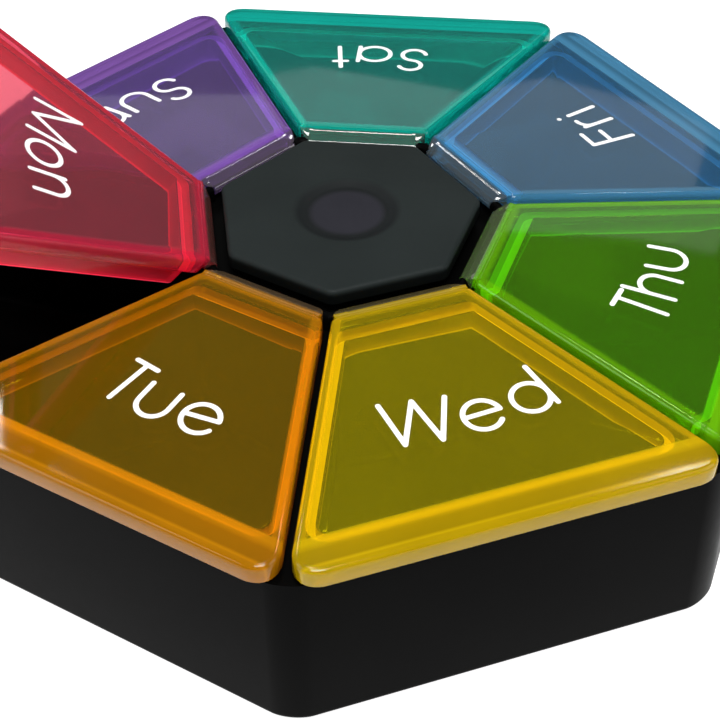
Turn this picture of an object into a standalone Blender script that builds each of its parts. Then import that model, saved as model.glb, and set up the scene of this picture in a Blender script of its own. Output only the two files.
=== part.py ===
"""Seven-day travel pill organizer: a heptagonal tray, a hub cap and seven hinged see-through lids.

Units are metres and +Z is up. The origin is on the underside of the tray, below its centre.
Each lid is hinged at its inner edge, next to the hub, on two short round pips that turn in dimples
of the tray's corner posts.
"""

import math

import bmesh
import bpy
from mathutils import Matrix, Vector

SIDES = 7
SECTOR = 2 * math.pi / SIDES
HALF_SECTOR = SECTOR / 2
FIRST_SECTOR = -math.pi / 2 + HALF_SECTOR

# Lids in order round the hub, counter-clockwise from above, with their colours.
LIDS = (
    ("wed", (0.55, 0.42, 0.01)),
    ("thu", (0.12, 0.36, 0.02)),
    ("fri", (0.06, 0.20, 0.42)),
    ("sat", (0.01, 0.34, 0.27)),
    ("sun", (0.18, 0.09, 0.36)),
    ("mon", (0.60, 0.03, 0.07)),
    ("tue", (0.62, 0.28, 0.01)),
)
OPEN_LID = "mon"
OPEN_ANGLE = math.radians(39)
BLACK = (0.012, 0.012, 0.013)
CAP_GREY = (0.022, 0.026, 0.026)

GAP = 0.0003  # between a lid and what it lies over
SKIN = 0.00002  # sinks a joined face, so that no two faces coincide

# Hinges
AXIS_APOTHEM = 0.0181
AXIS_HEIGHT = 0.02698
AXIS_DEPTH = 0.0017  # below the top face of the lid
BARREL_RADIUS = 0.0011
BARREL_HALF_LENGTH = 0.0073
BEVEL_START = 0.0023  # the bevel down to the barrel starts this far out from the axis
NOSE_REACH = 0.0034  # how far the bevelled nose runs into the plate
PIP_RADIUS = 0.00055
PIP_END = 0.0080
DIMPLE_HOLE_RADIUS = 0.0008
DIMPLE_HOLE_END = 0.0082
POST_RADIUS = 0.00115
POST_START = 0.0076
POST_DEPTH = 0.0030
GROOVE_DEPTH = 0.00145  # the groove round the hub, below the axis
GROOVE_OUTER_APOTHEM = 0.0197

# Lids
LID_SLOPE = math.radians(4.4)  # each lid falls away from the hub
LID_THICKNESS = 0.0026
LID_APOTHEM = 0.0566
LID_SIDE_GAP = 0.0005  # from the plane between two sectors
LID_OUTER_RADIUS = 0.0030
LID_INNER_RADIUS = 0.0012
LID_TOP_ROUND = 0.0007
LID_BOTTOM_ROUND = 0.0003

# Plug flange under each lid
FLANGE_INSET = 0.0013  # from the plane between two sectors
FLANGE_WALL = 0.0011
FLANGE_DEPTH = 0.0037  # below the hinge axis
FLANGE_OUTER_APOTHEM = 0.0517
FLANGE_TOP_START = 0.0028  # from the axis, where the flange leaves the plate
FLANGE_SLANT = 0.0008
FLANGE_INNER_RADIUS = 0.0014
FLANGE_OUTER_RADIUS = 0.0026
FLANGE_JOIN = 0.0006  # how far the flange is sunk into the plate

# Tray
TRAY_APOTHEM = 0.0554
TRAY_DRAFT = 0.0004
TRAY_CORNER_RADIUS = 0.0060
TRAY_BOTTOM_ROUND = 0.0010
FLOOR = 0.0020
OUTER_WALL = 0.0032
DIVIDER = 0.0018
POCKET_START_APOTHEM = 0.0208
POCKET_OUTER_RADIUS = 0.0030
POCKET_INNER_RADIUS = 0.0015
POCKET_FILLET = 0.0010

# Hub
CORE_APOTHEM = 0.0152
CAP_APOTHEM = 0.01586
CAP_TOP = 0.0290
CAP_THICKNESS = 0.0020
CAP_CORNER_RADIUS = 0.0016
CAP_ROUND = 0.0006
PLUG_APOTHEM = 0.0107
PLUG_CHAMFER = 0.0005
SOCKET_DEPTH = 0.0035
FINGER_RADIUS = 0.0072
FINGER_FLAT_RADIUS = 0.0052
FINGER_DEPTH = 0.0005


def clear_scene():
    for obj in list(bpy.data.objects):
        bpy.data.objects.remove(obj, do_unlink=True)


def new_collection(name, hidden=False):
    collection = bpy.data.collections.new(name)
    bpy.context.scene.collection.children.link(collection)
    collection.hide_render = hidden
    return collection


def material(name, colour, roughness):
    made = bpy.data.materials.new(name)
    made.use_nodes = True
    shader = made.node_tree.nodes["Principled BSDF"]
    shader.inputs["Base Color"].default_value = (*colour, 1)
    shader.inputs["Roughness"].default_value = roughness
    shader.inputs["Metallic"].default_value = 0
    return made


def object_from(bm, name, collection):
    """A new object with the bmesh as its mesh."""
    bmesh.ops.recalc_face_normals(bm, faces=bm.faces)
    mesh = bpy.data.meshes.new(name)
    bm.to_mesh(mesh)
    bm.free()
    obj = bpy.data.objects.new(name, mesh)
    collection.objects.link(obj)
    return obj


def upright(edge):
    low, high = sorted(edge.verts, key=lambda v: v.co.z)
    return high.co.z - low.co.z > 0.0001


def edges_at(bm, height):
    return [e for e in bm.edges if all(abs(v.co.z - height) < 0.00001 for v in e.verts)]


def round_edges(bm, edges, radius, segments):
    """Rounds edges with an arc of the given radius, whatever angle their faces meet at."""
    half = edges[0].calc_face_angle() / 2
    bmesh.ops.bevel(
        bm,
        geom=edges,
        offset=radius * math.tan(half),
        offset_type="OFFSET",
        segments=segments,
        profile=0.5,
        affect="EDGES",
        clamp_overlap=False,
    )


def heptagon_prism(low, high, apothem, corner_radius, low_apothem=None, segments=6):
    """A bmesh with an upright prism of seven sides, with rounded corners; flat sides face the sectors."""
    bm = bmesh.new()
    spread = 1 / math.cos(HALF_SECTOR)
    bmesh.ops.create_cone(
        bm,
        cap_ends=True,
        segments=SIDES,
        radius1=(low_apothem or apothem) * spread,
        radius2=apothem * spread,
        depth=high - low,
        matrix=Matrix.Translation((0, 0, (low + high) / 2)),
    )
    first = min(bm.verts, key=lambda v: (v.co.y, v.co.z))
    turn = -math.pi / 2 - math.atan2(first.co.y, first.co.x)
    bmesh.ops.rotate(bm, verts=bm.verts, cent=(0, 0, 0), matrix=Matrix.Rotation(turn, 3, "Z"))
    round_edges(bm, [e for e in bm.edges if upright(e)], corner_radius, segments)
    return bm


def cylinder(name, radius, start, end, segments, collection):
    """A round bar along the hinge axis."""
    bm = bmesh.new()
    turn = Matrix.Rotation(math.pi / 2, 4, "Y")
    bmesh.ops.create_cone(
        bm,
        cap_ends=True,
        segments=segments,
        radius1=radius,
        radius2=radius,
        depth=abs(end - start),
        matrix=Matrix.Translation(((start + end) / 2, 0, 0)) @ turn,
    )
    return object_from(bm, name, collection)


def extruded(name, corners, vector, collection):
    """A flat outline of 3-D points, extruded along a vector."""
    bm = bmesh.new()
    face = bm.faces.new([bm.verts.new(corner) for corner in corners])
    grown = bmesh.ops.extrude_face_region(bm, geom=[face])
    moved = [g for g in grown["geom"] if isinstance(g, bmesh.types.BMVert)]
    bmesh.ops.translate(bm, verts=moved, vec=vector)
    return object_from(bm, name, collection)


def sector_prism(low, high, start, end, inset, radii, squeeze=1.0, low_start=None, segments=4):
    """A bmesh with a sector-shaped prism in the hinge frame: x along the axis, y away from the hub.

    radii are those of its inner and outer upright edges. squeeze is 1 for a level outline, and less
    for one that lies on a slope.
    """

    def corners(nearest, height):
        points = []
        for y in (nearest, end):
            half = (AXIS_APOTHEM + y * squeeze) * math.tan(HALF_SECTOR) - inset / math.cos(HALF_SECTOR)
            points += [(-half, y, height), (half, y, height)]
        return [points[i] for i in (0, 1, 3, 2)]

    bm = bmesh.new()
    below = [bm.verts.new(p) for p in corners(start if low_start is None else low_start, low)]
    above = [bm.verts.new(p) for p in corners(start, high)]
    bm.faces.new(below[::-1])
    bm.faces.new(above)
    for i in range(4):
        j = (i + 1) % 4
        bm.faces.new((below[i], below[j], above[j], above[i]))
    bmesh.ops.recalc_face_normals(bm, faces=bm.faces)
    middle = (start + end) / 2
    for wanted, radius in zip((False, True), radii):
        edges = [e for e in bm.edges if upright(e) and (e.verts[0].co.y > middle) is wanted]
        round_edges(bm, edges, radius, segments)
    return bm


def combine(obj, operation, others):
    """Joins or cuts obj with each of the others, and removes them."""
    for other in others:
        boolean = obj.modifiers.new(operation.lower(), "BOOLEAN")
        boolean.operation = operation
        boolean.solver = "EXACT"
        boolean.object = other
    graph = bpy.context.evaluated_depsgraph_get()
    graph.update()
    mesh = bpy.data.meshes.new_from_object(obj.evaluated_get(graph))
    obj.modifiers.clear()
    obj.data = mesh
    for other in others:
        bpy.data.objects.remove(other, do_unlink=True)


def smooth(obj, degrees=32):
    obj.data.shade_smooth()
    obj.data.set_sharp_from_angle(angle=math.radians(degrees))


def put_in_sector(obj, index):
    """Places an object made in the hinge frame: its origin on the axis, its +Y away from the hub."""
    direction = FIRST_SECTOR + index * SECTOR
    obj.location = Vector((math.cos(direction), math.sin(direction), 0)) * AXIS_APOTHEM
    obj.location.z = AXIS_HEIGHT
    obj.rotation_euler = (0, 0, direction - math.pi / 2)
    bpy.context.view_layer.update()


def lid_plate(cutters):
    squeeze = math.cos(LID_SLOPE)
    end = (LID_APOTHEM - AXIS_APOTHEM) / squeeze
    start = POST_RADIUS + GAP
    bottom = AXIS_DEPTH - LID_THICKNESS
    radii = (LID_INNER_RADIUS, LID_OUTER_RADIUS)
    bm = sector_prism(bottom, AXIS_DEPTH, start, end, LID_SIDE_GAP, radii, squeeze, segments=6)
    round_edges(bm, edges_at(bm, AXIS_DEPTH), LID_TOP_ROUND, 4)
    round_edges(bm, edges_at(bm, bottom), LID_BOTTOM_ROUND, 1)
    return object_from(bm, "lid_plate", cutters)


def lid_nose(cutters):
    """The wedge that carries the plate down to the hinge barrel, with a bevelled top."""
    under = AXIS_DEPTH - LID_THICKNESS + SKIN
    top = AXIS_DEPTH - SKIN
    lean = math.atan2(top, BEVEL_START) + math.acos(BARREL_RADIUS / math.hypot(BEVEL_START, top))
    profile = [
        (NOSE_REACH, under),
        (NOSE_REACH, top),
        (BEVEL_START, top),
        (BARREL_RADIUS * math.cos(lean), BARREL_RADIUS * math.sin(lean)),
        (0, 0),
        (0, under),
    ]
    half = BARREL_HALF_LENGTH - SKIN
    corners = [(-half, y, z) for y, z in profile]
    return extruded("lid_nose", corners, (2 * half, 0, 0), cutters)


def lid_flange(cutters):
    """The ring that plugs into the pocket. Its end next to the hub slants."""
    squeeze = math.cos(LID_SLOPE)
    end = (FLANGE_OUTER_APOTHEM - AXIS_APOTHEM) / squeeze
    under = AXIS_DEPTH - LID_THICKNESS
    low_start = FLANGE_TOP_START + FLANGE_SLANT
    ring = object_from(
        sector_prism(
            -FLANGE_DEPTH,
            under + FLANGE_JOIN,
            FLANGE_TOP_START,
            end,
            FLANGE_INSET,
            (FLANGE_INNER_RADIUS, FLANGE_OUTER_RADIUS),
            squeeze,
            low_start,
        ),
        "lid_flange",
        cutters,
    )
    hollow = object_from(
        sector_prism(
            -FLANGE_DEPTH - FLANGE_WALL,
            under,
            low_start + FLANGE_WALL,
            end - FLANGE_WALL,
            FLANGE_INSET + FLANGE_WALL,
            (FLANGE_INNER_RADIUS - FLANGE_WALL, FLANGE_OUTER_RADIUS - FLANGE_WALL),
            squeeze,
        ),
        "flange_hollow",
        cutters,
    )
    combine(ring, "DIFFERENCE", [hollow])
    return ring


def make_lid_mesh(cutters):
    lid = lid_plate(cutters)
    half = BARREL_HALF_LENGTH
    pieces = [lid_nose(cutters), cylinder("barrel", BARREL_RADIUS, -half, half, 24, cutters)]
    pieces.append(cylinder("pips", PIP_RADIUS, -PIP_END, PIP_END, 16, cutters))
    pieces.append(lid_flange(cutters))
    combine(lid, "UNION", pieces)
    mesh = lid.data
    mesh.name = "lid"
    bpy.data.objects.remove(lid, do_unlink=True)
    return mesh


def above_the_tray(cutters):
    """The space above the tray: a seven-sided roof turned into a cutter, just under the lids."""
    rise = math.tan(LID_SLOPE)
    ledge = AXIS_HEIGHT - (LID_THICKNESS - AXIS_DEPTH) / math.cos(LID_SLOPE) - GAP
    reach = 0.1
    peak = ledge + AXIS_APOTHEM * rise
    bm = heptagon_prism(0, 0.1, reach, 0.001, segments=1)
    low = [f for f in bm.faces if f.normal.z < -0.5]
    bmesh.ops.poke(bm, faces=low)
    for vert in bm.verts:
        if vert.co.z < 0.05:
            away = math.hypot(vert.co.x, vert.co.y)
            vert.co.z = peak if away < 0.001 else peak - reach * rise
    return object_from(bm, "above_the_tray", cutters)


def hinge_groove(cutters):
    """The level groove round the hub that the barrels turn in."""
    low = AXIS_HEIGHT - GROOVE_DEPTH
    bm = heptagon_prism(low, 0.1, GROOVE_OUTER_APOTHEM, 0.001, segments=2)
    return object_from(bm, "groove", cutters)


def pocket(index, cutters):
    start = POCKET_START_APOTHEM - AXIS_APOTHEM
    end = TRAY_APOTHEM - OUTER_WALL - AXIS_APOTHEM
    floor = FLOOR - AXIS_HEIGHT
    radii = (POCKET_INNER_RADIUS, POCKET_OUTER_RADIUS)
    bm = sector_prism(floor, 0.01, start, end, DIVIDER / 2, radii)
    round_edges(bm, edges_at(bm, floor), POCKET_FILLET, 2)
    made = object_from(bm, "pocket", cutters)
    put_in_sector(made, index)
    return made


def post_half(index, side, cutters):
    """Half of a corner post, from its dimpled face to the slanted plane between two sectors."""
    profile = [(POST_RADIUS, -POST_DEPTH)]
    steps = 12
    for step in range(steps + 1):
        angle = math.pi * step / steps
        profile.append((POST_RADIUS * math.cos(angle), POST_RADIUS * math.sin(angle)))
    profile.append((-POST_RADIUS, -POST_DEPTH))
    overlap = 0.00003
    bm = bmesh.new()
    near = [bm.verts.new((side * POST_START, y, z)) for y, z in profile]
    far = []
    for y, z in profile:
        x = (AXIS_APOTHEM + y) * math.tan(HALF_SECTOR) + overlap
        far.append(bm.verts.new((side * x, y, z)))
    bm.faces.new(near)
    bm.faces.new(far[::-1])
    for i in range(len(profile)):
        j = (i + 1) % len(profile)
        bm.faces.new((near[i], far[i], far[j], near[j]))
    made = object_from(bm, "post_half", cutters)
    put_in_sector(made, index)
    return made


def dimple_hole(index, side, cutters):
    start = POST_START - GAP
    made = cylinder(
        "dimple_hole", DIMPLE_HOLE_RADIUS, side * start, side * DIMPLE_HOLE_END, 16, cutters
    )
    put_in_sector(made, index)
    return made


def make_tray(collection, cutters):
    low = TRAY_APOTHEM - TRAY_DRAFT
    radius = TRAY_CORNER_RADIUS
    bm = heptagon_prism(0, AXIS_HEIGHT, TRAY_APOTHEM, radius, low)
    round_edges(bm, edges_at(bm, 0), TRAY_BOTTOM_ROUND, 4)
    tray = object_from(bm, "base_tray", collection)
    combine(tray, "DIFFERENCE", [above_the_tray(cutters)])
    combine(tray, "DIFFERENCE", [hinge_groove(cutters)] + [pocket(i, cutters) for i in range(SIDES)])
    core_top = CAP_TOP - CAP_THICKNESS - GAP
    bm = heptagon_prism(FLOOR / 2, core_top, CORE_APOTHEM, CAP_CORNER_RADIUS)
    ends = [(i, side) for i in range(SIDES) for side in (-1, 1)]
    posts = [post_half(i, side, cutters) for i, side in ends]
    combine(tray, "UNION", [object_from(bm, "core", cutters)] + posts)
    socket_low = core_top - SOCKET_DEPTH
    apothem = PLUG_APOTHEM + GAP
    bm = heptagon_prism(socket_low, 0.04, apothem, CAP_CORNER_RADIUS)
    holes = [dimple_hole(i, side, cutters) for i, side in ends]
    combine(tray, "DIFFERENCE", [object_from(bm, "socket", cutters)] + holes)
    tray.data.materials.append(material("tray_black", BLACK, 0.32))
    smooth(tray)
    return tray


def finger_dish(cutters):
    """A shallow dish for a fingertip: a turned profile, flat in the middle, with a soft slope."""
    profile = [(0, -FINGER_DEPTH)]
    steps = 6
    for step in range(steps + 1):
        share = step / steps
        x = FINGER_FLAT_RADIUS + (FINGER_RADIUS - FINGER_FLAT_RADIUS) * share
        profile.append((x, -FINGER_DEPTH * (1 + math.cos(math.pi * share)) / 2))
    profile += [(FINGER_RADIUS, 0.001), (0, 0.001)]
    bm = bmesh.new()
    points = [bm.verts.new((x, 0, CAP_TOP + z)) for x, z in profile]
    for a, b in zip(points, points[1:]):
        bm.edges.new((a, b))
    mesh = bpy.data.meshes.new("finger_dish")
    bm.to_mesh(mesh)
    bm.free()
    dish = bpy.data.objects.new("finger_dish", mesh)
    cutters.objects.link(dish)
    screw = dish.modifiers.new("turn", "SCREW")
    screw.axis = "Z"
    screw.steps = 48
    screw.render_steps = 48
    screw.use_merge_vertices = True
    screw.merge_threshold = 0.00001
    screw.use_normal_calculate = True
    screw.use_normal_flip = True
    return dish


def make_cap(collection, cutters):
    bottom = CAP_TOP - CAP_THICKNESS
    bm = heptagon_prism(bottom, CAP_TOP, CAP_APOTHEM, CAP_CORNER_RADIUS)
    round_edges(bm, edges_at(bm, CAP_TOP), CAP_ROUND, 4)
    cap = object_from(bm, "hub_cap", collection)
    low = bottom - SOCKET_DEPTH
    bm = heptagon_prism(low, bottom + GAP, PLUG_APOTHEM, CAP_CORNER_RADIUS)
    round_edges(bm, edges_at(bm, low), PLUG_CHAMFER, 1)
    combine(cap, "UNION", [object_from(bm, "plug", cutters)])
    combine(cap, "DIFFERENCE", [finger_dish(cutters)])
    cap.data.materials.append(material("hub_cap_grey", CAP_GREY, 0.42))
    smooth(cap, 20)
    return cap


def make_lids(collection, cutters):
    """The seven lids share one mesh. Each hangs on an empty that lies on its hinge axis."""
    mesh = make_lid_mesh(cutters)
    mesh.materials.append(None)
    for index, (day, colour) in enumerate(LIDS):
        axis = bpy.data.objects.new("axis_" + day, None)
        collection.objects.link(axis)
        put_in_sector(axis, index)
        lid = bpy.data.objects.new("lid_" + day, mesh)
        collection.objects.link(lid)
        lid.parent = axis
        opened = OPEN_ANGLE if day == OPEN_LID else 0
        lid.rotation_euler = (opened - LID_SLOPE, 0, 0)
        lid.material_slots[0].link = "OBJECT"
        lid.material_slots[0].material = material("lid_tint_" + day, colour, 0.08)
        smooth(lid)


def main():
    clear_scene()
    parts = new_collection("travel_pill_organizer")
    cutters = new_collection("cutters", hidden=True)
    make_tray(parts, cutters)
    make_cap(parts, cutters)
    make_lids(parts, cutters)
    bpy.context.view_layer.update()


main()
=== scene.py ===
import math

import bmesh
import bpy
from mathutils import Matrix, Vector


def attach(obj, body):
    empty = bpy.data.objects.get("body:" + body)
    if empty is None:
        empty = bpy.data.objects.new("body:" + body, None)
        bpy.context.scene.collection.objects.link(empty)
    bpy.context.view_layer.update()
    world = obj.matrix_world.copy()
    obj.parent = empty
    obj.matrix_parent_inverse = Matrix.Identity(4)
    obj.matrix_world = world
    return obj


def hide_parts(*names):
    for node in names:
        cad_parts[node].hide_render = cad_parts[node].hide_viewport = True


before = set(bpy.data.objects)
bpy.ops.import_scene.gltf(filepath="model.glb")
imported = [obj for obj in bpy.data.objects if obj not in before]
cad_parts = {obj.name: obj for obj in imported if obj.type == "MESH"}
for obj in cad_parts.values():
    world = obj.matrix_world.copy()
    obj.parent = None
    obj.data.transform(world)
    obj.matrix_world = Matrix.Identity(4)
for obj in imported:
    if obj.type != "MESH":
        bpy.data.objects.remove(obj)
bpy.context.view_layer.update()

# The travel pill organizer in metres: seven sectors round a hub, each with a lid hinged at its inner edge.
SIDES = 7
SECTOR = 2 * math.pi / SIDES
HALF_SECTOR = SECTOR / 2
FIRST_SECTOR = -math.pi / 2 + HALF_SECTOR
LID_SLOPE = math.radians(4.4)
OPEN_LID = "mon"
OPEN_ANGLE = math.radians(39)

# Lids in order round the hub: colour of the moulded rim, colour of the thinner window, distance of the
# print's baseline from the hub's middle, and how far the print is off the lid's middle
LIDS = {
    "wed": ((0.86, 0.58, 0.003), (0.76, 0.66, 0.002), 0.0434, 0.00075),
    "thu": ((0.22, 0.66, 0.003), (0.19, 0.62, 0.008), 0.0440, 0.0),
    "fri": ((0.10, 0.37, 0.62), (0.11, 0.38, 0.64), 0.0447, 0.0004),
    "sat": ((0.003, 0.62, 0.50), (0.04, 0.66, 0.56), 0.0452, 0.0),
    "sun": ((0.34, 0.15, 0.60), (0.40, 0.26, 0.72), 0.0452, 0.0),
    "mon": ((0.86, 0.04, 0.10), (0.86, 0.16, 0.22), 0.0452, 0.0004),
    "tue": ((0.76, 0.31, 0.003), (0.56, 0.34, 0.003), 0.0440, 0.00075),
}

GAP = 0.0003  # between a lid and what it lies over
SKIN = 0.00002  # sinks a joined face, so that no two faces coincide
HAIR = 0.0001  # smallest step between two points of a profile, and the least height of an upright edge

# Hinges
AXIS_APOTHEM = 0.0181
AXIS_HEIGHT = 0.02698
AXIS_DEPTH = 0.0017
BARREL_RADIUS = 0.00075
BARREL_HALF_LENGTH = 0.0073
BEVEL_START = 0.0013
NOSE_REACH = 0.0034
NOSE_ROUND = 0.0028
EAR_HALF_LENGTH = 0.0086
EAR_JOIN = 0.0005  # how far an ear runs into the nose and the plate
EAR_GAP = 0.00014  # between an ear and the post that it reaches over
EAR_TAPER_START = 0.0074
EAR_TAPER = 0.0015  # how far the ear's hub side draws back at its tip
EAR_TAPER_POWER = 1.7
EAR_HOLLOW_ANGLES = (0.62, 0.95, 1.25)  # radians round the axis, where the ear's underside clears the post
EAR_HOLLOW_STEP = 0.00005
EAR_BEVEL_SKIN = 0.00004
EAR_STEPS = 8
PIP_RADIUS = 0.0004
PIP_END = 0.0080
POST_RADIUS = 0.0007
POST_START = 0.0075
POST_DEPTH = 0.0030
POST_OVERLAP = 0.00003  # how far each half of a post runs past the plane between two sectors
GROOVE_DEPTH = 0.00145
GROOVE_OUTER_APOTHEM = 0.0197

# Lids
LID_THICKNESS = 0.0026
LID_APOTHEM = 0.0566
LID_SIDE_GAP = 0.0005
LID_START = 0.00145
LID_OUTER_RADIUS = 0.0030
LID_INNER_RADIUS = 0.0012
LID_TOP_ROUND = 0.0007
LID_BOTTOM_ROUND = 0.0003

# Plug flange under each lid
FLANGE_INSET = 0.0013
FLANGE_WALL = 0.0011
FLANGE_DEPTH = 0.0037
FLANGE_OUTER_APOTHEM = 0.0517
FLANGE_TOP_START = 0.0028
FLANGE_SLANT = 0.0008
FLANGE_INNER_RADIUS = 0.0014
FLANGE_OUTER_RADIUS = 0.0026
FLANGE_JOIN = 0.0006
FLANGE_ROUND = 0.00022

# Tray and hub
TRAY_APOTHEM = 0.0554
TRAY_DRAFT = 0.0004
TRAY_CORNER_RADIUS = 0.0060
TRAY_BOTTOM_ROUND = 0.0010
FLOOR = 0.0020
OUTER_WALL = 0.0032
DIVIDER = 0.0018
POCKET_START_APOTHEM = 0.0208
POCKET_OUTER_RADIUS = 0.0030
POCKET_INNER_RADIUS = 0.0015
POCKET_FILLET = 0.0010
CORE_APOTHEM = 0.0152
CAP_APOTHEM = 0.01586
CAP_TOP = 0.0290
CAP_THICKNESS = 0.0020
CAP_CORNER_RADIUS = 0.0016
CAP_ROUND = 0.0006
PLUG_APOTHEM = 0.0107
SOCKET_DEPTH = 0.0035
FINGER_RADIUS = 0.0072
FINGER_FLAT_RADIUS = 0.0052
FINGER_DEPTH = 0.0005

# The plastic: its window passes most light, and its rim, flange and edges less. The bottom edge of the
# flange is given a glow of its own, which stands for the light that gathers in a clear edge.
RIM_SIDE = 0.0014
RIM_OUTER = 0.0050
RIM_INNER = 0.0016
RIM_CLEAR = 0.50
SIDE_CLEAR = 0.66
WINDOW_CLEAR = 0.86
FLANGE_CLEAR = 0.34
EDGE_CLEAR = 0.10
EDGE_WIDTH = 0.00022
EDGE_GLOW = 0.60
RIM_ROUGHNESS = 0.10
STRIP_CLEAR = 0.76
STRIP_END = 0.0012
# Painted light and shade bands on the moulded rim: half their brightness, at distances in from its outer edge
RIM_PAINTED_BANDS = (
    (0.0, 0.36),
    (0.0009, 0.40),
    (0.0011, 0.50),
    (0.0015, 0.30),
    (0.0032, 0.31),
    (0.0042, 0.50),
    (0.0047, 0.48),
    (0.0052, 0.50),
)
# The hinge strip's grey is a painted reflection of the surroundings on its bevel, mixed with a little of the
# lid's own colour
STRIP_PAINTED_REFLECTION_GREY = (0.19, 0.18, 0.14)
STRIP_TINT = 0.2  # share of the lid's own colour in the grey hinge strip

# Hub cap colours: its face, the fingertip pad, and the darker ring round the pad, which is painted shade on
# the dish's slope
CAP_GREY = (0.0145, 0.019, 0.0185)
PAD_GREY = (0.023, 0.023, 0.030)
RING_PAINTED_SHADE_GREY = (0.010, 0.012, 0.0125)

# Lettering
CAP_HEIGHT = 0.0072
PEN = 0.00033
LETTER_GAP = 0.00150
INK = 0.00003
INK_LIFT = 0.000012


def mesh_object(name, mesh):
    obj = bpy.data.objects.new(name, mesh)
    bpy.context.scene.collection.objects.link(obj)
    return obj


def object_from(bm, name):
    bmesh.ops.recalc_face_normals(bm, faces=bm.faces)
    mesh = bpy.data.meshes.new(name)
    bm.to_mesh(mesh)
    bm.free()
    return mesh_object(name, mesh)


def upright(edge):
    low, high = sorted(edge.verts, key=lambda v: v.co.z)
    return high.co.z - low.co.z > HAIR


def edges_at(bm, height):
    return [e for e in bm.edges if all(abs(v.co.z - height) < 0.00001 for v in e.verts)]


def round_edges(bm, edges, radius, segments):
    """Rounds edges with an arc of the given radius, whatever angle their faces meet at."""
    half = edges[0].calc_face_angle() / 2
    bmesh.ops.bevel(
        bm,
        geom=edges,
        offset=radius * math.tan(half),
        offset_type="OFFSET",
        segments=segments,
        profile=0.5,
        affect="EDGES",
        clamp_overlap=False,
    )


def heptagon_prism(low, high, apothem, corner_radius, low_apothem=None, segments=14):
    """A bmesh with an upright seven-sided prism with rounded corners; its flat sides face the sectors."""
    bm = bmesh.new()
    spread = 1 / math.cos(HALF_SECTOR)
    bmesh.ops.create_cone(
        bm,
        cap_ends=True,
        segments=SIDES,
        radius1=(low_apothem or apothem) * spread,
        radius2=apothem * spread,
        depth=high - low,
        matrix=Matrix.Translation((0, 0, (low + high) / 2)),
    )
    first = min(bm.verts, key=lambda v: (v.co.y, v.co.z))
    turn = -math.pi / 2 - math.atan2(first.co.y, first.co.x)
    bmesh.ops.rotate(bm, verts=bm.verts, cent=(0, 0, 0), matrix=Matrix.Rotation(turn, 3, "Z"))
    round_edges(bm, [e for e in bm.edges if upright(e)], corner_radius, segments)
    return bm


def cylinder(name, radius, start, end, segments):
    """A round bar along the hinge axis."""
    bm = bmesh.new()
    turn = Matrix.Rotation(math.pi / 2, 4, "Y")
    bmesh.ops.create_cone(
        bm,
        cap_ends=True,
        segments=segments,
        radius1=radius,
        radius2=radius,
        depth=abs(end - start),
        matrix=Matrix.Translation(((start + end) / 2, 0, 0)) @ turn,
    )
    return object_from(bm, name)


def sector_prism(low, high, start, end, inset, radii, squeeze=1.0, low_start=None, segments=10):
    """A bmesh with a sector-shaped prism in the hinge frame: x along the axis, y away from the hub."""

    def corners(nearest, height):
        points = []
        for y in (nearest, end):
            half = (AXIS_APOTHEM + y * squeeze) * math.tan(HALF_SECTOR) - inset / math.cos(HALF_SECTOR)
            points += [(-half, y, height), (half, y, height)]
        return [points[i] for i in (0, 1, 3, 2)]

    bm = bmesh.new()
    below = [bm.verts.new(p) for p in corners(start if low_start is None else low_start, low)]
    above = [bm.verts.new(p) for p in corners(start, high)]
    bm.faces.new(below[::-1])
    bm.faces.new(above)
    for i in range(4):
        j = (i + 1) % 4
        bm.faces.new((below[i], below[j], above[j], above[i]))
    bmesh.ops.recalc_face_normals(bm, faces=bm.faces)
    middle = (start + end) / 2
    for wanted, radius in zip((False, True), radii):
        edges = [e for e in bm.edges if upright(e) and (e.verts[0].co.y > middle) is wanted]
        round_edges(bm, edges, radius, segments)
    return bm


def loft(name, rings):
    bm = bmesh.new()
    loops = [[bm.verts.new(point) for point in ring] for ring in rings]
    for lower, upper in zip(loops, loops[1:]):
        for i in range(len(lower)):
            j = (i + 1) % len(lower)
            bm.faces.new((lower[i], lower[j], upper[j], upper[i]))
    bm.faces.new(loops[0][::-1])
    bm.faces.new(loops[-1])
    return object_from(bm, name)


def arc(radius, start, end, steps):
    angles = [math.radians(start + (end - start) * i / steps) for i in range(steps + 1)]
    return [(radius * math.cos(a), radius * math.sin(a)) for a in angles]


def combine(obj, operation, others):
    for other in others:
        boolean = obj.modifiers.new(operation.lower(), "BOOLEAN")
        boolean.operation = operation
        boolean.solver = "EXACT"
        boolean.object = other
    graph = bpy.context.evaluated_depsgraph_get()
    graph.update()
    mesh = bpy.data.meshes.new_from_object(obj.evaluated_get(graph))
    obj.modifiers.clear()
    obj.data = mesh
    for other in others:
        bpy.data.objects.remove(other, do_unlink=True)


def smooth(mesh, degrees=34):
    mesh.shade_smooth()
    mesh.set_sharp_from_angle(angle=math.radians(degrees))


def sector_matrix(index):
    """Hinge frame of a sector: x along the hinge, y away from the hub."""
    direction = FIRST_SECTOR + index * SECTOR
    place = Vector((math.cos(direction), math.sin(direction), 0)) * AXIS_APOTHEM
    place.z = AXIS_HEIGHT
    return Matrix.Translation(place) @ Matrix.Rotation(direction - math.pi / 2, 4, "Z")


def lid_plate():
    squeeze = math.cos(LID_SLOPE)
    end = (LID_APOTHEM - AXIS_APOTHEM) / squeeze
    bottom = AXIS_DEPTH - LID_THICKNESS
    radii = (LID_INNER_RADIUS, LID_OUTER_RADIUS)
    bm = sector_prism(bottom, AXIS_DEPTH, LID_START, end, LID_SIDE_GAP, radii, squeeze, segments=12)
    round_edges(bm, edges_at(bm, AXIS_DEPTH), LID_TOP_ROUND, 8)
    round_edges(bm, edges_at(bm, bottom), LID_BOTTOM_ROUND, 3)
    return object_from(bm, "lid_plate")


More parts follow.
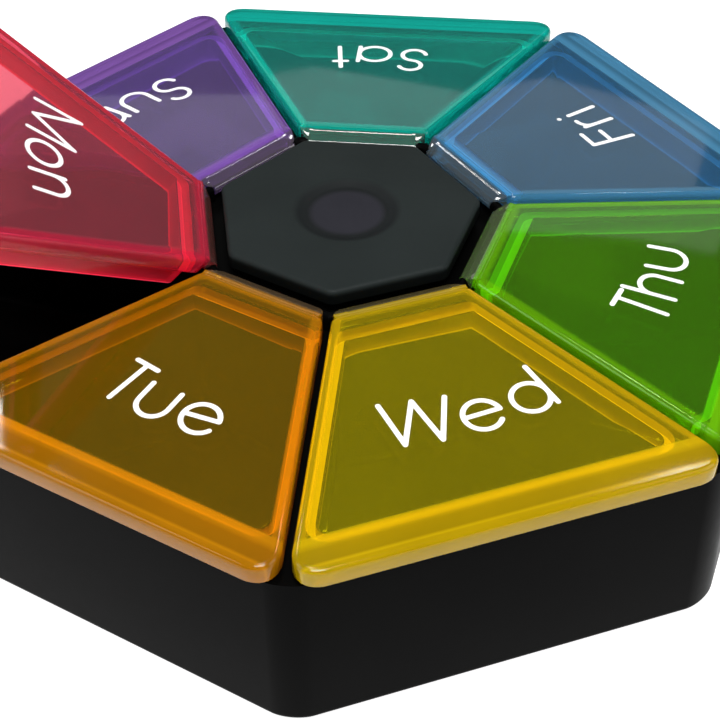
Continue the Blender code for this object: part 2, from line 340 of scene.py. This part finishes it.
def nose_top():
    """Where the bevelled top of the nose meets the barrel: (y, z), as a tangent from the bevel's start."""
    top = AXIS_DEPTH - SKIN
    lean = math.atan2(top, BEVEL_START) + math.acos(BARREL_RADIUS / math.hypot(BEVEL_START, top))
    return (BARREL_RADIUS * math.cos(lean), BARREL_RADIUS * math.sin(lean)), math.degrees(lean)


def lid_nose():
    """The middle of the nose: plate, bevelled top and round barrel in one profile."""
    under = AXIS_DEPTH - LID_THICKNESS + SKIN
    top = AXIS_DEPTH - SKIN
    lean = nose_top()[1]
    bend = math.radians(lean) - math.pi / 2
    knee = BEVEL_START + NOSE_ROUND * math.tan(bend / 2)
    shoulder = [(knee + y, top - NOSE_ROUND + z) for y, z in arc(NOSE_ROUND, 90, lean, 10)]
    profile = [(NOSE_REACH, under), (NOSE_REACH, top)] + shoulder
    profile += arc(BARREL_RADIUS, lean, 250, 20)
    half = BARREL_HALF_LENGTH
    return loft("lid_nose", [[(x, y, z) for y, z in profile] for x in (-half, half)])


def lid_ear(side):
    """The thin end of the nose that reaches over the post, narrowing towards the hub."""
    top = AXIS_DEPTH - SKIN * 1.5
    (tangent_y, tangent_z), lean = nose_top()
    hollow = POST_RADIUS + EAR_GAP
    reach = LID_START + EAR_JOIN
    rings = []
    first = BARREL_HALF_LENGTH - EAR_JOIN
    for step in range(EAR_STEPS + 1):
        share = step / EAR_STEPS
        x = first + (EAR_HALF_LENGTH - first) * share
        along = max(0.0, (x - EAR_TAPER_START) / (EAR_HALF_LENGTH - EAR_TAPER_START))
        low_y = tangent_y + HAIR + EAR_TAPER * along ** EAR_TAPER_POWER
        slope = (top - tangent_z) / (BEVEL_START - tangent_y)
        start = tangent_z + slope * (low_y - tangent_y)
        inner = max(0.0, hollow ** 2 - low_y ** 2) ** 0.5
        knee = max(BEVEL_START, low_y + HAIR)
        inner = min(inner, start - HAIR)
        profile = [(low_y, inner), (low_y, start - EAR_BEVEL_SKIN), (knee, top)]
        profile += [(reach, top), (reach, hollow * 0.5)]
        for left, angle in zip((3, 2, 1), EAR_HOLLOW_ANGLES):
            y = max(hollow * math.cos(angle), low_y + EAR_HOLLOW_STEP * left)
            profile.append((y, hollow * math.sin(angle)))
        rings.append([(side * x, y, z) for y, z in profile])
    return loft("lid_ear", rings)


def lid_flange():
    """The ring that plugs into the pocket. Its end next to the hub slants."""
    squeeze = math.cos(LID_SLOPE)
    end = (FLANGE_OUTER_APOTHEM - AXIS_APOTHEM) / squeeze
    under = AXIS_DEPTH - LID_THICKNESS
    low_start = FLANGE_TOP_START + FLANGE_SLANT
    radii = (FLANGE_INNER_RADIUS, FLANGE_OUTER_RADIUS)
    bm = sector_prism(
        -FLANGE_DEPTH, under + FLANGE_JOIN, FLANGE_TOP_START, end, FLANGE_INSET, radii, squeeze, low_start
    )
    round_edges(bm, edges_at(bm, -FLANGE_DEPTH), FLANGE_ROUND, 4)
    ring = object_from(bm, "lid_flange")
    radii = (FLANGE_INNER_RADIUS - FLANGE_WALL, FLANGE_OUTER_RADIUS - FLANGE_WALL)
    low = -FLANGE_DEPTH - FLANGE_WALL
    inset = FLANGE_INSET + FLANGE_WALL
    start = low_start + FLANGE_WALL
    bm = sector_prism(low, under, start, end - FLANGE_WALL, inset, radii, squeeze)
    round_edges(bm, edges_at(bm, under), FLANGE_ROUND, 4)
    combine(ring, "DIFFERENCE", [object_from(bm, "flange_hollow")])
    return ring


def make_lid_mesh():
    lid = lid_plate()
    pieces = [lid_nose(), lid_flange(), cylinder("lid_pips", PIP_RADIUS, -PIP_END, PIP_END, 24)]
    pieces += [lid_ear(side) for side in (-1, 1)]
    combine(lid, "UNION", pieces)
    mesh = lid.data
    mesh.name = "lid"
    bpy.data.objects.remove(lid, do_unlink=True)
    smooth(mesh)
    return mesh


def above_the_tray():
    """The space above the tray: a seven-sided roof just under the lids, turned into a cutter."""
    rise = math.tan(LID_SLOPE)
    ledge = AXIS_HEIGHT - (LID_THICKNESS - AXIS_DEPTH) / math.cos(LID_SLOPE) - GAP
    reach = 0.1
    peak = ledge + AXIS_APOTHEM * rise
    bm = heptagon_prism(0, 0.1, reach, 0.001, segments=1)
    bmesh.ops.poke(bm, faces=[f for f in bm.faces if f.normal.z < -0.5])
    for vert in bm.verts:
        if vert.co.z < 0.05:
            away = math.hypot(vert.co.x, vert.co.y)
            vert.co.z = peak if away < 0.001 else peak - reach * rise
    return object_from(bm, "above_the_tray")


def pocket(index):
    start = POCKET_START_APOTHEM - AXIS_APOTHEM
    end = TRAY_APOTHEM - OUTER_WALL - AXIS_APOTHEM
    floor = FLOOR - AXIS_HEIGHT
    radii = (POCKET_INNER_RADIUS, POCKET_OUTER_RADIUS)
    bm = sector_prism(floor, 0.01, start, end, DIVIDER / 2, radii)
    round_edges(bm, edges_at(bm, floor), POCKET_FILLET, 5)
    made = object_from(bm, "pocket")
    made.matrix_world = sector_matrix(index)
    return made


def post_half(index, side):
    """Half of a corner post, up to the slanted plane between two sectors."""
    profile = [(POST_RADIUS, -POST_DEPTH)] + arc(POST_RADIUS, 0, 180, 16) + [(-POST_RADIUS, -POST_DEPTH)]
    near = [(side * POST_START, y, z) for y, z in profile]
    far = []
    for y, z in profile:
        middle = (AXIS_APOTHEM + y) * math.tan(HALF_SECTOR)
        far.append((side * (middle + POST_OVERLAP), y, z))
    made = loft("post_half", [near, far])
    made.matrix_world = sector_matrix(index)
    return made


def make_tray():
    low = TRAY_APOTHEM - TRAY_DRAFT
    bm = heptagon_prism(0, AXIS_HEIGHT, TRAY_APOTHEM, TRAY_CORNER_RADIUS, low, 18)
    round_edges(bm, edges_at(bm, 0), TRAY_BOTTOM_ROUND, 6)
    tray = object_from(bm, "moulded_tray")
    combine(tray, "DIFFERENCE", [above_the_tray()])
    groove = heptagon_prism(AXIS_HEIGHT - GROOVE_DEPTH, 0.1, GROOVE_OUTER_APOTHEM, 0.001)
    combine(tray, "DIFFERENCE", [object_from(groove, "groove")] + [pocket(i) for i in range(SIDES)])
    core_top = CAP_TOP - CAP_THICKNESS - GAP
    core = heptagon_prism(FLOOR / 2, core_top, CORE_APOTHEM, CAP_CORNER_RADIUS)
    posts = [post_half(i, side) for i in range(SIDES) for side in (-1, 1)]
    combine(tray, "UNION", [object_from(core, "core")] + posts)
    socket = heptagon_prism(core_top - SOCKET_DEPTH, 0.04, PLUG_APOTHEM + GAP, CAP_CORNER_RADIUS)
    combine(tray, "DIFFERENCE", [object_from(socket, "socket")])
    smooth(tray.data)
    return tray


def finger_dish():
    """A shallow dish for a fingertip: a turned profile, flat in the middle, with a soft slope."""
    profile = [(0, -FINGER_DEPTH)]
    steps = 16
    for step in range(steps + 1):
        share = step / steps
        x = FINGER_FLAT_RADIUS + (FINGER_RADIUS - FINGER_FLAT_RADIUS) * share
        profile.append((x, -FINGER_DEPTH * (1 + math.cos(math.pi * share)) / 2))
    profile += [(FINGER_RADIUS, 0.001), (0, 0.001)]
    bm = bmesh.new()
    points = [bm.verts.new((x, 0, CAP_TOP + z)) for x, z in profile]
    for a, b in zip(points, points[1:]):
        bm.edges.new((a, b))
    mesh = bpy.data.meshes.new("finger_dish")
    bm.to_mesh(mesh)
    bm.free()
    dish = mesh_object("finger_dish", mesh)
    screw = dish.modifiers.new("turn", "SCREW")
    screw.axis = "Z"
    screw.steps = 96
    screw.render_steps = 96
    screw.use_merge_vertices = True
    screw.merge_threshold = 0.00001
    screw.use_normal_calculate = True
    screw.use_normal_flip = True
    return dish


def make_cap():
    bottom = CAP_TOP - CAP_THICKNESS
    bm = heptagon_prism(bottom, CAP_TOP, CAP_APOTHEM, CAP_CORNER_RADIUS)
    round_edges(bm, edges_at(bm, CAP_TOP), CAP_ROUND, 8)
    cap = object_from(bm, "satin_cap")
    plug = heptagon_prism(bottom - SOCKET_DEPTH, bottom + GAP, PLUG_APOTHEM, CAP_CORNER_RADIUS)
    combine(cap, "UNION", [object_from(plug, "plug")])
    combine(cap, "DIFFERENCE", [finger_dish()])
    smooth(cap.data, 24)
    return cap


# A thin geometric alphabet: strokes as lists of points in metres, x from the middle of the letter
def sweep(cx, cy, rx, ry, start, end, steps=28):
    angles = [math.radians(start + (end - start) * i / steps) for i in range(steps + 1)]
    return [(cx + rx * math.cos(a), cy + ry * math.sin(a)) for a in angles]


def glyphs():
    """Letter: (half width of its centre lines, strokes), in metres, baseline centre line at y 0."""
    cap = CAP_HEIGHT - 2 * PEN
    bowl = 0.00230
    mid = bowl - 0.00010
    x_top = 0.00475
    arch = 0.00188
    u_half = 0.00205
    s_r = 0.00162
    bar = mid + 0.00022
    e_drop = math.degrees(math.asin((bar - mid) / bowl))
    s_mid = cap * 0.53
    s_top = (cap - s_mid) / 2
    s_low = s_mid / 2
    shoulder = sweep(0, x_top - arch + 0.0001, arch, arch, 180, 0, 24) + [(arch, 0)]
    return {
        "W": (0.00393, [[(-0.00393, cap), (-0.00219, 0), (0, cap), (0.00219, 0), (0.00393, cap)]]),
        "M": (0.00355, [[(-0.00355, 0), (-0.00355, cap), (0, 0.0003), (0.00355, cap), (0.00355, 0)]]),
        "T": (0.00162, [[(-0.00162, cap), (0.00162, cap)], [(0, cap), (0, 0)]]),
        "F": (
            0.00150,
            [
                [(0.00150, cap), (-0.00150, cap), (-0.00150, 0)],
                [(-0.00150, cap * 0.54), (0.00125, cap * 0.54)],
            ],
        ),
        "S": (
            s_r,
            [
                sweep(0, cap - s_top, s_r, s_top, 28, 250, 24)
                + sweep(0, s_low, s_r * 1.06, s_low, 70, -160, 26)
            ],
        ),
        "e": (
            bowl,
            [
                [(-bowl + 0.00006, bar), (bowl - 0.00006, bar)]
                + sweep(0, mid, bowl, bowl, e_drop, 322, 40)
            ],
        ),
        "o": (bowl, [sweep(0, mid, bowl, bowl, 0, 360, 48)]),
        "d": (bowl, [sweep(0, mid, bowl, bowl, 0, 360, 48), [(bowl, cap + 0.0001), (bowl, 0)]]),
        "a": (bowl, [sweep(0, mid, bowl, bowl, 0, 360, 48), [(bowl, x_top), (bowl, 0)]]),
        "u": (
            u_half,
            [
                [(-u_half, x_top)]
                + sweep(0, u_half - 0.0001, u_half, u_half, 180, 360, 24)
                + [(u_half, x_top)]
            ],
        ),
        "n": (arch, [[(-arch, x_top), (-arch, 0)], shoulder]),
        "h": (arch, [[(-arch, cap + 0.0001), (-arch, 0)], shoulder]),
        "r": (
            0.0010,
            [
                [(-0.0010, x_top), (-0.0010, 0)],
                sweep(0.0006, x_top - 0.0016 + 0.0001, 0.0016, 0.0016, 180, 82, 14),
            ],
        ),
        "i": (0.0, [[(0, x_top), (0, 0)], [(0, cap - 0.00002), (0, cap + 0.00002)]]),
        "t": (0.00095, [[(0, cap), (0, 0)], [(-0.00095, x_top - 0.0001), (0.00095, x_top - 0.0001)]]),
    }


# How much nearer the next letter stands after these
TUCK = {"T": 0.0006, "W": 0.0004, "F": 0.0002, "r": 0.0003}


def word_strokes(word, baseline, shift):
    """Centre lines of the word set on an arc about the hub, in the hinge frame of its lid seen from above."""
    table = glyphs()
    place = 0.0
    placed = []
    previous = None
    for letter in word:
        half = table[letter][0] + PEN
        if previous is not None:
            place += half + LETTER_GAP - TUCK.get(previous, 0)
        placed.append((letter, place))
        place += half
        previous = letter
    left = placed[0][1] - table[word[0]][0] - PEN
    right = place
    middle = (left + right) / 2 - shift
    centre = -AXIS_APOTHEM / math.cos(LID_SLOPE)
    radius = baseline - PEN
    lines = []
    for letter, at in placed:
        turn = (at - middle) / radius
        for stroke in table[letter][1]:
            line = []
            for x, y in stroke:
                reach = radius - y
                line.append(
                    (
                        -x * math.cos(turn) - reach * math.sin(turn),
                        centre + reach * math.cos(turn) - x * math.sin(turn),
                    )
                )
            lines.append(line)
    return lines


def printed_word(name, word, baseline, shift, top):
    """Thin ink film: the area within a pen's radius of the strokes, contoured on a fine grid."""
    lines = word_strokes(word, baseline, shift)
    cell = 0.00010
    segments = [(a, b) for line in lines for a, b in zip(line, line[1:])]
    xs = [p[0] for line in lines for p in line]
    ys = [p[1] for line in lines for p in line]
    pad = PEN + 2 * cell
    x0, y0 = min(xs) - pad, min(ys) - pad
    nx = int((max(xs) + pad - x0) / cell) + 2
    ny = int((max(ys) + pad - y0) / cell) + 2
    far = 1.0
    field = [[far] * ny for _ in range(nx)]
    for (ax, ay), (bx, by) in segments:
        lo_i = max(0, int((min(ax, bx) - pad - x0) / cell))
        hi_i = min(nx - 1, int((max(ax, bx) + pad - x0) / cell) + 1)
        lo_j = max(0, int((min(ay, by) - pad - y0) / cell))
        hi_j = min(ny - 1, int((max(ay, by) + pad - y0) / cell) + 1)
        dx, dy = bx - ax, by - ay
        length = dx * dx + dy * dy
        for i in range(lo_i, hi_i + 1):
            px = x0 + i * cell
            column = field[i]
            for j in range(lo_j, hi_j + 1):
                py = y0 + j * cell
                share = ((px - ax) * dx + (py - ay) * dy) / length if length else 0
                share = min(1.0, max(0.0, share))
                away = math.hypot(px - ax - share * dx, py - ay - share * dy)
                if away < column[j]:
                    column[j] = away
    bm = bmesh.new()
    made = {}

    def corner(i, j):
        key = (i, j)
        if key not in made:
            made[key] = bm.verts.new((x0 + i * cell, y0 + j * cell, top))
        return made[key]

    def crossing(i, j, k, m):
        key = (min((i, j), (k, m)), max((i, j), (k, m)))
        if key not in made:
            a, b = field[i][j] - PEN, field[k][m] - PEN
            share = min(0.96, max(0.04, a / (a - b)))
            made[key] = bm.verts.new(
                (x0 + (i + (k - i) * share) * cell, y0 + (j + (m - j) * share) * cell, top)
            )
        return made[key]

    for i in range(nx - 1):
        for j in range(ny - 1):
            square = [(i, j), (i + 1, j), (i + 1, j + 1), (i, j + 1)]
            inside = [field[a][b] < PEN for a, b in square]
            if not any(inside):
                continue
            ring = []
            for s in range(4):
                here, ahead = square[s], square[(s + 1) % 4]
                if inside[s]:
                    ring.append(corner(*here))
                if inside[s] != inside[(s + 1) % 4]:
                    ring.append(crossing(*here, *ahead))
            if len(ring) >= 3:
                bm.faces.new(ring)
    top_faces = list(bm.faces)
    result = bmesh.ops.extrude_face_region(bm, geom=top_faces)
    lowered = [g for g in result["geom"] if isinstance(g, bmesh.types.BMVert)]
    bmesh.ops.translate(bm, verts=lowered, vec=(0, 0, INK))
    bmesh.ops.recalc_face_normals(bm, faces=bm.faces)
    mesh = bpy.data.meshes.new(name)
    bm.to_mesh(mesh)
    bm.free()
    return mesh_object(name, mesh)


# Materials
def new_material(name):
    made = bpy.data.materials.new(name)
    made.use_nodes = True
    shader = made.node_tree.nodes["Principled BSDF"]
    return made, made.node_tree, shader


def node(tree, kind, **inputs):
    made = tree.nodes.new(kind)
    for key, value in inputs.items():
        made.inputs[key].default_value = value
    return made


def ramp(tree, source, stops):
    made = tree.nodes.new("ShaderNodeValToRGB")
    tree.links.new(source, made.inputs["Fac"])
    elements = made.color_ramp.elements
    while len(elements) < len(stops):
        elements.new(0.5)
    for element, (at, colour) in zip(elements, stops):
        element.position = at
        element.color = (*colour, 1)
    return made.outputs["Color"]


def span(tree, source, low, high, start=0.0, end=1.0):
    made = tree.nodes.new("ShaderNodeMapRange")
    made.inputs["From Min"].default_value = start
    made.inputs["From Max"].default_value = end
    made.inputs["To Min"].default_value = low
    made.inputs["To Max"].default_value = high
    tree.links.new(source, made.inputs["Value"])
    return made.outputs["Result"]


def noise(tree, scale, detail=3.0, stretch=None):
    coords = tree.nodes.new("ShaderNodeTexCoord")
    source = coords.outputs["Object"]
    if stretch:
        mapping = tree.nodes.new("ShaderNodeMapping")
        mapping.inputs["Scale"].default_value = stretch
        tree.links.new(source, mapping.inputs["Vector"])
        source = mapping.outputs["Vector"]
    made = node(tree, "ShaderNodeTexNoise", Scale=scale, Detail=detail)
    tree.links.new(source, made.inputs["Vector"])
    return made.outputs["Fac"]


def bump(tree, shader, height, strength, distance):
    made = node(tree, "ShaderNodeBump", Strength=strength, Distance=distance)
    tree.links.new(height, made.inputs["Height"])
    tree.links.new(made.outputs["Normal"], shader.inputs["Normal"])
    return made


def arithmetic(tree, operation, *values):
    made = tree.nodes.new("ShaderNodeMath")
    made.operation = operation
    for socket, value in zip(made.inputs, values):
        if isinstance(value, (int, float)):
            socket.default_value = value
        else:
            tree.links.new(value, socket)
    return made.outputs[0]


def blend(tree, factor, first, second):
    """Mixes two colours or colour sockets by a factor socket."""
    made = tree.nodes.new("ShaderNodeMix")
    made.data_type = "RGBA"
    tree.links.new(factor, made.inputs["Factor"])
    for socket, value in zip((made.inputs[6], made.inputs[7]), (first, second)):
        if isinstance(value, tuple):
            socket.default_value = (*value, 1)
        else:
            tree.links.new(value, socket)
    return made.outputs[2]


def lerp(tree, factor, first, second):
    """Mixes two numbers or number sockets by a factor socket."""
    away = arithmetic(tree, "SUBTRACT", 1.0, factor)
    kept = arithmetic(tree, "MULTIPLY", away, first)
    return arithmetic(tree, "ADD", kept, arithmetic(tree, "MULTIPLY", factor, second))


def lid_masks(tree):
    """Masks from the place in a lid's own hinge frame, and how far in from its outer edge that is."""
    coords = tree.nodes.new("ShaderNodeTexCoord")
    split = tree.nodes.new("ShaderNodeSeparateXYZ")
    tree.links.new(coords.outputs["Object"], split.inputs[0])
    x, y, z = split.outputs
    growth = math.cos(LID_SLOPE) * math.sin(HALF_SECTOR)
    half = arithmetic(tree, "MULTIPLY_ADD", y, growth, AXIS_APOTHEM * math.sin(HALF_SECTOR) - LID_SIDE_GAP)
    across = arithmetic(tree, "MULTIPLY", arithmetic(tree, "ABSOLUTE", x), math.cos(HALF_SECTOR))
    side = arithmetic(tree, "SUBTRACT", half, across)
    outer = arithmetic(tree, "SUBTRACT", (LID_APOTHEM - AXIS_APOTHEM) / math.cos(LID_SLOPE), y)
    inner = arithmetic(tree, "SUBTRACT", y, STRIP_END)
    nearest = arithmetic(tree, "DIVIDE", side, RIM_SIDE)
    nearest = arithmetic(tree, "MINIMUM", nearest, arithmetic(tree, "DIVIDE", inner, RIM_INNER))
    sides = span(tree, nearest, 0.0, 1.0, 0.80, 1.20)
    end = span(tree, arithmetic(tree, "DIVIDE", outer, RIM_OUTER), 0.0, 1.0, 0.97, 1.05)
    plate = arithmetic(tree, "GREATER_THAN", z, AXIS_DEPTH - LID_THICKNESS - 0.0001)
    strip = span(tree, y, 1.0, 0.0, STRIP_END - 0.0001, STRIP_END + 0.0001)
    edge = span(tree, z, 1.0, 0.0, EDGE_WIDTH - FLANGE_DEPTH, 1.4 * EDGE_WIDTH - FLANGE_DEPTH)
    return sides, end, outer, plate, strip, edge


def tinted_plastic(day, rim, window):
    made, tree, shader = new_material("tint_" + day)
    sides, end, outer, plate, strip, edge = lid_masks(tree)
    clear = arithmetic(tree, "MULTIPLY", arithmetic(tree, "MINIMUM", sides, end), plate)
    flow_and_painted_bands = span(tree, noise(tree, 70, 4, (1, 1, 3)), 0.9, 1.0, 0.3, 0.7)
    # Painted light and shade: bright and dark bands scale the plate's colour in from its outer edge, on top
    # of the flow marks
    lines = ramp(
        tree,
        arithmetic(tree, "DIVIDE", outer, 2 * RIM_OUTER),
        [(at / (2 * RIM_OUTER), (glow, glow, glow)) for at, glow in RIM_PAINTED_BANDS],
    )
    lines = span(tree, lines, 0.0, 2.0)
    flow_and_painted_bands = arithmetic(tree, "MULTIPLY", flow_and_painted_bands, lerp(tree, plate, 1.0, lines))
    # Painted reflection: the hinge strip takes a grey that stands for the surroundings mirrored in its bevel
    grey = tuple((1 - STRIP_TINT) * g + STRIP_TINT * c for g, c in zip(STRIP_PAINTED_REFLECTION_GREY, rim))
    colour = blend(tree, strip, blend(tree, clear, rim, window), grey)
    shaded = tree.nodes.new("ShaderNodeVectorMath")
    shaded.operation = "SCALE"
    tree.links.new(colour, shaded.inputs[0])
    tree.links.new(flow_and_painted_bands, shaded.inputs["Scale"])
    tree.links.new(shaded.outputs[0], shader.inputs["Base Color"])
    polish = span(tree, noise(tree, 240, 5), 0.03, 0.07)
    tree.links.new(lerp(tree, end, RIM_ROUGHNESS, polish), shader.inputs["Roughness"])
    passed = lerp(tree, plate, FLANGE_CLEAR, lerp(tree, end, RIM_CLEAR, SIDE_CLEAR))
    passed = lerp(tree, clear, passed, WINDOW_CLEAR)
    passed = lerp(tree, strip, passed, STRIP_CLEAR)
    tree.links.new(lerp(tree, edge, passed, EDGE_CLEAR), shader.inputs["Transmission Weight"])
    tree.links.new(strip, shader.inputs["Coat Weight"])
    tree.links.new(blend(tree, edge, (0.0, 0.0, 0.0), rim), shader.inputs["Emission Color"])
    shader.inputs["Emission Strength"].default_value = EDGE_GLOW
    shader.inputs["IOR"].default_value = 1.5
    shader.inputs["Specular IOR Level"].default_value = 0.1
    bump(tree, shader, noise(tree, 45, 2), 0.04, 0.0002)
    return made


def tray_plastic():
    made, tree, shader = new_material("tray_moulded_black")
    cloud = noise(tree, 60, 5)
    tree.links.new(
        ramp(tree, cloud, [(0.3, (0.0010, 0.0010, 0.0010)), (0.75, (0.0019, 0.0019, 0.0018))]),
        shader.inputs["Base Color"],
    )
    tree.links.new(span(tree, noise(tree, 900, 3), 0.30, 0.42), shader.inputs["Roughness"])
    shader.inputs["Specular IOR Level"].default_value = 0.02
    bump(tree, shader, noise(tree, 5200, 2), 0.12, 0.00005)
    return made


def cap_plastic():
    made, tree, shader = new_material("cap_satin_grey")
    coords = tree.nodes.new("ShaderNodeTexCoord")
    split = tree.nodes.new("ShaderNodeSeparateXYZ")
    tree.links.new(coords.outputs["Object"], split.inputs[0])
    across = arithmetic(tree, "MULTIPLY", split.outputs[0], split.outputs[0])
    along = arithmetic(tree, "MULTIPLY", split.outputs[1], split.outputs[1])
    reach = arithmetic(tree, "SQRT", arithmetic(tree, "ADD", across, along))
    # The pad is lighter, and the darker ring round it is painted shade where the dish slopes
    pad_and_painted_ring_shade = ramp(
        tree,
        arithmetic(tree, "DIVIDE", reach, FINGER_RADIUS),
        [(0.60, PAD_GREY), (0.72, RING_PAINTED_SHADE_GREY), (0.86, RING_PAINTED_SHADE_GREY), (1.0, CAP_GREY)],
    )
    shaded = tree.nodes.new("ShaderNodeVectorMath")
    shaded.operation = "SCALE"
    tree.links.new(pad_and_painted_ring_shade, shaded.inputs[0])
    # Painted shade: the cap's sides darken to a fifth of their colour below the rounded top edge
    upper = span(tree, split.outputs[2], 0.2, 1.0, CAP_TOP - 1.5 * CAP_ROUND, CAP_TOP - 0.7 * CAP_ROUND)
    mottle = span(tree, noise(tree, 90, 5), 0.88, 1.12, 0.3, 0.7)
    tree.links.new(arithmetic(tree, "MULTIPLY", mottle, upper), shaded.inputs["Scale"])
    tree.links.new(shaded.outputs[0], shader.inputs["Base Color"])
    tree.links.new(span(tree, noise(tree, 1200, 3), 0.42, 0.54), shader.inputs["Roughness"])
    shader.inputs["Specular IOR Level"].default_value = 0.1
    bump(tree, shader, noise(tree, 6500, 2), 0.18, 0.00005)
    return made


def white_ink():
    made, tree, shader = new_material("white_ink")
    tree.links.new(
        ramp(tree, noise(tree, 1500, 4), [(0.3, (0.90, 0.90, 0.90)), (0.7, (0.95, 0.95, 0.95))]),
        shader.inputs["Base Color"],
    )
    tree.links.new(span(tree, noise(tree, 2500, 2), 0.45, 0.6), shader.inputs["Roughness"])
    return made


lid_mesh = make_lid_mesh()
ink = white_ink()
for index, (day, (rim, window, baseline, shift)) in enumerate(LIDS.items()):
    opened = OPEN_ANGLE if day == OPEN_LID else 0
    matrix = sector_matrix(index) @ Matrix.Rotation(opened - LID_SLOPE, 4, "X")
    lid = mesh_object("clear_lid_" + day, lid_mesh.copy())
    lid.matrix_world = matrix
    lid.data.materials.append(tinted_plastic(day, rim, window))
    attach(lid, "lid_" + day)
    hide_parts("lid_" + day)
    label = printed_word("label_" + day, day.capitalize(), baseline, shift, AXIS_DEPTH + INK_LIFT)
    label.matrix_world = matrix
    label.data.materials.append(ink)
    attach(label, "lid_" + day)

for piece, chosen, replaced, slot in (
    (make_tray(), tray_plastic(), "base_tray", "tray_black"),
    (make_cap(), cap_plastic(), "hub_cap", "hub_cap_grey"),
):
    piece.data.materials.clear()
    piece.data.materials.append(chosen)
    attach(piece, "tray")
    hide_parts(replaced)

# Floor, light and camera
floor_material, tree, shader = new_material("pale_floor")
shader.inputs["Base Color"].default_value = (0.35, 0.35, 0.35, 1)
shader.inputs["Roughness"].default_value = 0.9
shader.inputs["Specular IOR Level"].default_value = 0.0
shader.inputs["Emission Color"].default_value = (1, 1, 1, 1)
shader.inputs["Emission Strength"].default_value = 0.95
bpy.ops.mesh.primitive_plane_add(size=8, location=(0, 0, -0.0002))
floor = bpy.context.object
floor.name = "floor"
floor.data.materials.append(floor_material)


LIGHT_TARGET = (0, 0, 0.02)


def area_light(name, place, target, width, power, height=None):
    data = bpy.data.lights.new(name, "AREA")
    data.shape = "RECTANGLE"
    data.size = width
    data.size_y = height or width
    data.energy = power
    light = bpy.data.objects.new(name, data)
    bpy.context.scene.collection.objects.link(light)
    light.location = place
    light.rotation_mode = "QUATERNION"
    light.rotation_quaternion = (Vector(target) - Vector(place)).to_track_quat("-Z", "Y")
    return light


# The edge lights are placed so that they show as thin lines in the hinge bevels of the three far lids
area_light("overhead", (0.05, -0.30, 0.69), LIGHT_TARGET, 0.35, 5.6)
area_light("middle_edge", (-0.065, 0.203, 0.719), LIGHT_TARGET, 0.10, 0.5)
area_light("right_edge", (0.199, 0.356, 0.629), LIGHT_TARGET, 0.07, 0.26)
area_light("left_edge", (-0.316, 0.367, 0.572), LIGHT_TARGET, 0.07, 0.26)
# A dim panel low at the back, which only the far lids mirror
area_light("back_panel", (-0.09, 0.63, 0.40), LIGHT_TARGET, 0.55, 0.19, 0.16)
area_light("left_window", (-0.7, -0.25, 0.45), LIGHT_TARGET, 0.5, 1.8)
area_light("right_window", (0.7, -0.15, 0.45), LIGHT_TARGET, 0.5, 1.8)

world = bpy.data.worlds.new("studio")
bpy.context.scene.world = world
world.use_nodes = True
world.node_tree.nodes["Background"].inputs["Color"].default_value = (1, 1, 1, 1)
world.node_tree.nodes["Background"].inputs["Strength"].default_value = 0.06

CAMERA_TARGET = Vector((0.00106, 0.00339, 0.00071))
CAMERA_DISTANCE = 0.25733
CAMERA_AZIMUTH = math.radians(6.53)
CAMERA_ELEVATION = math.radians(40.13)
CAMERA_ROLL = math.radians(-0.73)
CAMERA_LENS = 91.44  # millimetres, on a sensor 36 mm wide
camera_data = bpy.data.cameras.new("camera")
camera_data.lens = CAMERA_LENS
camera_data.sensor_width = 36
camera_data.clip_start = 0.01
camera = bpy.data.objects.new("camera", camera_data)
bpy.context.scene.collection.objects.link(camera)
back = Vector(
    (
        math.sin(CAMERA_AZIMUTH) * math.cos(CAMERA_ELEVATION),
        -math.cos(CAMERA_AZIMUTH) * math.cos(CAMERA_ELEVATION),
        math.sin(CAMERA_ELEVATION),
    )
)
camera.location = CAMERA_TARGET + back * CAMERA_DISTANCE
camera.rotation_mode = "QUATERNION"
level_view = (-back).to_track_quat("-Z", "Y")
camera.rotation_quaternion = level_view @ Matrix.Rotation(CAMERA_ROLL, 3, "Z").to_quaternion()
bpy.context.scene.camera = camera
bpy.context.scene.view_settings.view_transform = "Standard"
